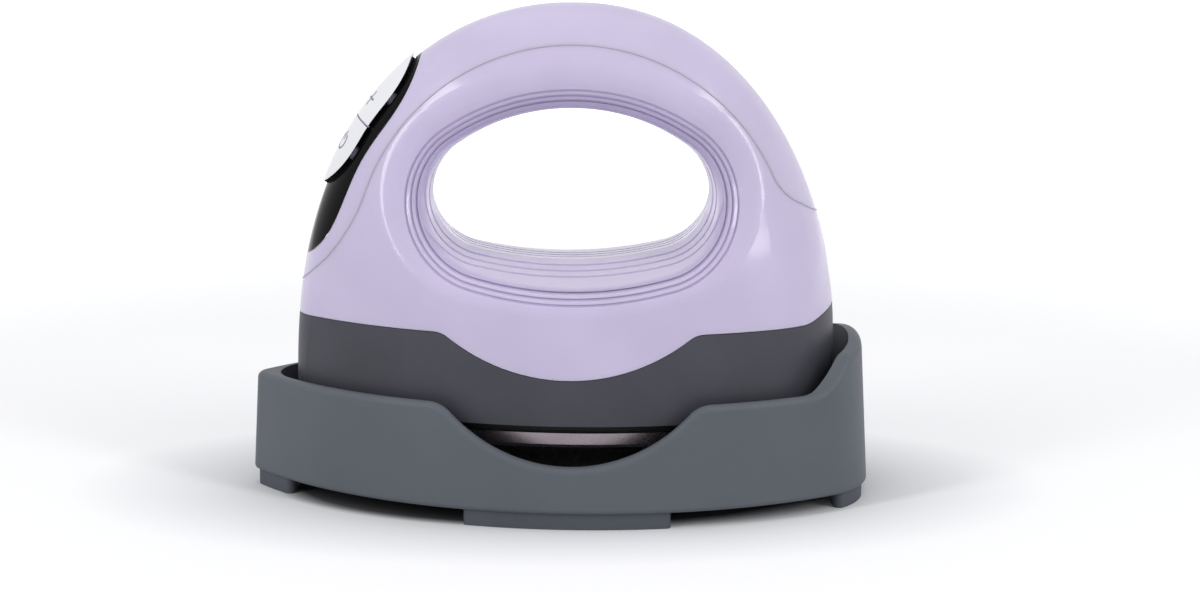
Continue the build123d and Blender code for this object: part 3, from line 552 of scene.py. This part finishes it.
# Rear edge of the keys on the middle plane, x and z in metres, from the crown down.
KEY_EDGE = ((-0.0310, 0.0926), (-0.0334, 0.0872), (-0.0369, 0.08245), (-0.0404, 0.0777),
            (-0.0435, 0.0727), (-0.0475, 0.0683), (-0.0503, 0.0662))
EDGE_STEPS = 6                # points from one corner of the edge to the next
WEB_HALF = 0.00012            # half the web, which stands in the keys' 0.4 mm slit
WEB_FRONT = -0.0014           # how far it reaches along the press direction, from the edge
WEB_BACK = 0.0022
RIB_FIRST = 0.0003            # where the rib starts and ends, from the middle plane
RIB_LAST = 0.0088
RIB_STEPS = 40
RIB_LOOK = 0.0004             # where the cap's face is read, above the slit's middle
RIB_TOP = 0.0003              # the rib's top and foot, below that face
RIB_FOOT = 0.0012


def edge_points():
    """Points along a smooth line through the key edge (Catmull-Rom)."""
    points = [Vector((x, 0, z)) for x, z in KEY_EDGE]
    points = [2 * points[0] - points[1]] + points + [2 * points[-1] - points[-2]]
    line = []
    for a, b, c, d in zip(points, points[1:], points[2:], points[3:]):
        for i in range(EDGE_STEPS):
            t = i / EDGE_STEPS
            line.append(0.5 * (2 * b + (c - a) * t + (2 * a - 5 * b + 4 * c - d) * t * t
                               + (3 * b - a - 3 * c + d) * t ** 3))
    return line + [points[-2]]


def make_key_web():
    """Black web on the middle plane, painted shade that closes the view through the slit round
    the keys.
    """
    rings = []
    places = edge_points()
    for i, place in enumerate(places):
        # The front edge runs out to nothing at both ends, where the body's surface is near.
        front = WEB_FRONT * math.sin(math.pi * i / (len(places) - 1))
        corners = ((front, -WEB_HALF), (WEB_BACK, -WEB_HALF),
                   (WEB_BACK, WEB_HALF), (front, WEB_HALF))
        rings.append([place + PRESS * along + ACROSS * side for along, side in corners])
    # The web's black is painted shade deep in the slit.
    shade_black = soft_black("key_web_painted_shade", WEB_SHADE_BLACK, 0.7)
    place_bars("key_web", [rings], "press", shade_black)


def make_key_rib():
    """Pale rib between the upper and the lower pair of keys, just below their faces, in
    darkened lavender as painted shade in the slit.
    """
    corners = ((RIB_TOP, -WEB_HALF), (RIB_TOP, WEB_HALF),
               (RIB_FOOT, WEB_HALF), (RIB_FOOT, -WEB_HALF))
    bars = []
    for node, side in (("key_plus", -1), ("key_minus", 1)):
        find = cap_surface(node)
        rings = []
        for i in range(RIB_STEPS + 1):
            across = side * (RIB_FIRST + (RIB_LAST - RIB_FIRST) * i / RIB_STEPS)
            face = find(across, RIB_LOOK)
            if face is None:
                break
            middle = face - UP_NOSE * RIB_LOOK
            rings.append([middle + PRESS * deep + UP_NOSE * high for deep, high in corners])
        bars.append(rings)
    # The rib's darkened lavender is painted shade.
    pale = glossy_plastic("key_rib_painted_shade", shaded(LAVENDER, 0.9), roughness=0.4)
    place_bars("key_rib", bars, "press", pale.material)


# ---------------- lip in the seam under the crown cover ----------------

# The seam on the middle plane, metres: a wide arc that flares out at heel and tip. A flare
# is an arc through two steps from the crown's end, and a straight run follows it.
SEAM_MIDDLE = (0.0028, 0.0500)
SEAM_RADIUS = 0.0456
SEAM_HEEL_ANGLE = 25
SEAM_TIP_ANGLE = 159
HEEL_FLARE = ((0.0023, -0.0036), (0.0062, -0.0065))
TIP_FLARE = ((-0.0042, -0.0090), (-0.0096, -0.0160))
HEEL_RUN = (0.012, -0.00684)
TIP_RUN = (-0.012, -0.0108)
CROWN_STEPS = 90
FLARE_STEPS = 24
SEAM_STEP = 0.0005            # between rings of the lip
SEAM_HALF = 0.0001            # half the width of the seam
SEAM_LOOK = 0.0003            # where the skin is read, inside the seam's lower edge
SIDE_CLEAR = 0.08             # how far outside the middle plane a ray starts
LIP_RECESS = 0.00012          # how far the lip lies below the skin, square to it
LIP_DEPTH = 0.0008
LIP_END_Y = 0.0015            # the lip ends where the skin comes this near the middle plane
LEAST_LEAN = 0.25             # least y of the skin's normal that the recess reckons with


def arc_through(first, second, third):
    """Points of the circle from the first point over the second to the third."""
    corners = (first, second, third)
    (ax, az), (bx, bz), (cx, cz) = corners
    d = 2 * (ax * (bz - cz) + bx * (cz - az) + cx * (az - bz))
    a, b, c = (px ** 2 + pz ** 2 for px, pz in corners)
    x = (a * (bz - cz) + b * (cz - az) + c * (az - bz)) / d
    z = (a * (cx - bx) + b * (ax - cx) + c * (bx - ax)) / d
    radius = math.dist(first, (x, z))
    start, way, end = (math.atan2(pz - z, px - x) for px, pz in corners)
    turn = (end - start) % (2 * math.pi)
    if (way - start) % (2 * math.pi) > turn:
        turn -= 2 * math.pi
    angles = [start + turn * i / FLARE_STEPS for i in range(FLARE_STEPS + 1)]
    return [(x + radius * math.cos(angle), z + radius * math.sin(angle)) for angle in angles]


def seam_line():
    """The seam from below the heel flare over the crown to below the tip flare."""
    def moved(point, step):
        return (point[0] + step[0], point[1] + step[1])

    def flare(end, steps):
        return arc_through(end, moved(end, steps[0]), moved(end, steps[1]))

    crown = arc(SEAM_MIDDLE, SEAM_RADIUS, SEAM_HEEL_ANGLE, SEAM_TIP_ANGLE, CROWN_STEPS)
    heel = flare(crown[0], HEEL_FLARE)
    tip = flare(crown[-1], TIP_FLARE)
    line = [moved(heel[-1], HEEL_RUN)] + heel[::-1] + crown[1:] + tip[1:]
    return line + [moved(tip[-1], TIP_RUN)]


def seam_places():
    """Places along the seam, one lip ring apart."""
    points = [Vector((x, 0, z)) for x, z in seam_line()]
    fine = []
    for start, end in zip(points, points[1:]):
        steps = max(1, round((end - start).length / SEAM_STEP))
        fine.extend(start.lerp(end, i / steps) for i in range(steps))
    return fine


def lip_ring(tree, side, before, place, after):
    """The lip's four corners at a place of the seam, or None where there is no skin."""
    along = (after - before).normalized()
    outward = Vector((along.z, 0, -along.x))
    start = place - outward * SEAM_LOOK + ACROSS * side * SIDE_CLEAR
    hit, normal = tree.ray_cast(start, -ACROSS * side)[:2]
    if hit is None or hit.y * side < LIP_END_Y:
        return None
    skin = hit.y - side * LIP_RECESS / max(abs(normal.y), LEAST_LEAN)
    foot = skin - side * LIP_DEPTH
    corners = ((skin, -SEAM_HALF), (skin, SEAM_HALF), (foot, SEAM_HALF), (foot, -SEAM_HALF))
    return [Vector((place.x, y, place.z)) + outward * share for y, share in corners]


def make_seam_lip():
    """Lavender lip in the seam between cover and side shells, just below the skin, darkened as
    painted shade in the seam.
    """
    places = seam_places()
    bars = []
    for node, side in (("side_shell_near", -1), ("side_shell_far", 1)):
        tree = surface_tree(node)
        runs = [[]]
        for before, place, after in zip(places, places[1:], places[2:]):
            ring = lip_ring(tree, side, before, place, after)
            if ring is None:
                runs.append([])
            else:
                runs[-1].append(ring)
        bars.extend(rings for rings in runs if len(rings) > 1)
    # Painted shade: the lip's lavender is darkened, on top of the real shade of its recess.
    shaded_lip = glossy_plastic("seam_lip", shaded(LAVENDER, 0.86), roughness=0.45)
    place_bars("seam_lip", bars, "press", shaded_lip.material)


# ---------------- floor, light and camera ----------------

def seen_rays(tree):
    """1 for rays that show the backdrop: from the camera, off gloss and through glass."""
    rays = tree.nodes.new("ShaderNodeLightPath").outputs
    total = rays["Is Camera Ray"]
    for name in ("Is Glossy Ray", "Is Transmission Ray"):
        total = math_result(tree, "MAXIMUM", total, rays[name])
    return total


def distance(tree, scale):
    """Distance from the middle of the floor, with each axis scaled."""
    mapping = tree.nodes.new("ShaderNodeMapping")
    mapping.inputs["Scale"].default_value = scale
    place = tree.nodes.new("ShaderNodeTexCoord").outputs["Object"]
    tree.links.new(place, mapping.inputs["Vector"])
    node = tree.nodes.new("ShaderNodeVectorMath")
    node.operation = "LENGTH"
    tree.links.new(mapping.outputs["Vector"], node.inputs[0])
    return node.outputs["Value"]


def floor_material():
    """Pale floor with a painted shadow under the stand and a glow that only the rays which
    show the backdrop see.
    """
    material = bpy.data.materials.new("floor_white")
    material.use_nodes = True
    tree = material.node_tree
    tree.nodes.clear()
    output = tree.nodes.new("ShaderNodeOutputMaterial")
    footprint = distance(tree, (1 / FOOTPRINT_HALF_LENGTH, 1 / FOOTPRINT_HALF_WIDTH, 0))

    # Painted shadow right under the stand, out of sight but for the gap between the feet.
    diffuse = tree.nodes.new("ShaderNodeBsdfDiffuse")
    under, pale, shown = colour_mix(tree, map_range(tree, footprint, *PAINTED_SHADOW_EDGE, 0.0, 1.0))
    under.default_value = FLOOR_PAINTED_SHADOW
    pale.default_value = FLOOR_PALE
    tree.links.new(shown, diffuse.inputs["Color"])

    glow = tree.nodes.new("ShaderNodeEmission")
    glow.inputs["Color"].default_value = WHITE
    near = map_range(tree, footprint, *GLOW_EDGE, 0.0, 1.0)
    far = map_range(tree, distance(tree, (1, 1, 0)), *FAR_EDGE, FLOOR_GLOW, FLOOR_GLOW_FAR)
    level = math_result(tree, "MULTIPLY", near, far)
    strength = math_result(tree, "MULTIPLY", seen_rays(tree), level)
    tree.links.new(strength, glow.inputs["Strength"])

    both = tree.nodes.new("ShaderNodeAddShader")
    tree.links.new(diffuse.outputs[0], both.inputs[0])
    tree.links.new(glow.outputs[0], both.inputs[1])
    tree.links.new(both.outputs[0], output.inputs["Surface"])
    return material


def make_floor():
    """Floor that shows white to the camera, keeps the object's shadow and has a painted shadow
    under the stand.
    """
    mesh = bpy.data.meshes.new("floor")
    half = FLOOR_HALF
    corners = [(-half, -half, 0), (half, -half, 0), (half, half, 0), (-half, half, 0)]
    mesh.from_pydata(corners, [], [(0, 1, 2, 3)])
    mesh.materials.append(floor_material())
    floor = new_object("floor", mesh)


def background(tree, colour, strength):
    node = tree.nodes.new("ShaderNodeBackground")
    node.inputs["Color"].default_value = colour
    node.inputs["Strength"].default_value = strength
    return node.outputs[0]


def make_world():
    """Even light all round; the camera, gloss and glass see plain white."""
    world = bpy.data.worlds.new("studio")
    bpy.context.scene.world = world
    world.use_nodes = True
    tree = world.node_tree
    tree.nodes.clear()
    output = tree.nodes.new("ShaderNodeOutputWorld")
    mix = tree.nodes.new("ShaderNodeMixShader")
    tree.links.new(seen_rays(tree), mix.inputs["Fac"])
    tree.links.new(background(tree, WORLD_TINT, WORLD_LEVEL), mix.inputs[1])
    tree.links.new(background(tree, WHITE, 1.0), mix.inputs[2])
    tree.links.new(mix.outputs[0], output.inputs["Surface"])


def soft_box(name, place, size, watts):
    """A rectangular light aimed at the object."""
    light = bpy.data.lights.new(name, "AREA")
    light.shape = "RECTANGLE"
    light.size, light.size_y = size
    light.energy = watts
    lamp = new_object(name, light)
    lamp.location = place
    aim = Vector(LIGHT_TARGET) - Vector(place)
    lamp.rotation_euler = aim.to_track_quat("-Z", "Y").to_euler()


def make_lights():
    x, y, z = SIDE_BOX_PLACE
    soft_box("left_box", (-x, y, z), SIDE_BOX_SIZE, SIDE_WATTS)
    soft_box("right_box", (x, y, z), SIDE_BOX_SIZE, SIDE_WATTS)
    soft_box("top_box", TOP_BOX_PLACE, TOP_BOX_SIZE, TOP_WATTS)


def make_camera():
    camera = bpy.data.cameras.new("camera")
    camera.sensor_width = SENSOR
    camera.lens = FOCAL_PIXELS / IMAGE_WIDTH * SENSOR
    camera.shift_x = (IMAGE_WIDTH / 2 - AXIS_PIXEL[0]) / IMAGE_WIDTH
    camera.shift_y = (AXIS_PIXEL[1] - IMAGE_HEIGHT / 2) / IMAGE_WIDTH
    camera.clip_start = CLIP_START
    holder = new_object("camera", camera)
    holder.location = CAMERA_PLACE
    holder.rotation_euler = (math.radians(90 - CAMERA_PITCH), 0, 0)
    bpy.context.scene.camera = holder


bpy.context.scene.view_settings.view_transform = "Standard"
dress_nodes()
make_symbols()
make_key_web()
make_key_rib()
make_seam_lip()
make_floor()
make_world()
make_lights()
make_camera()
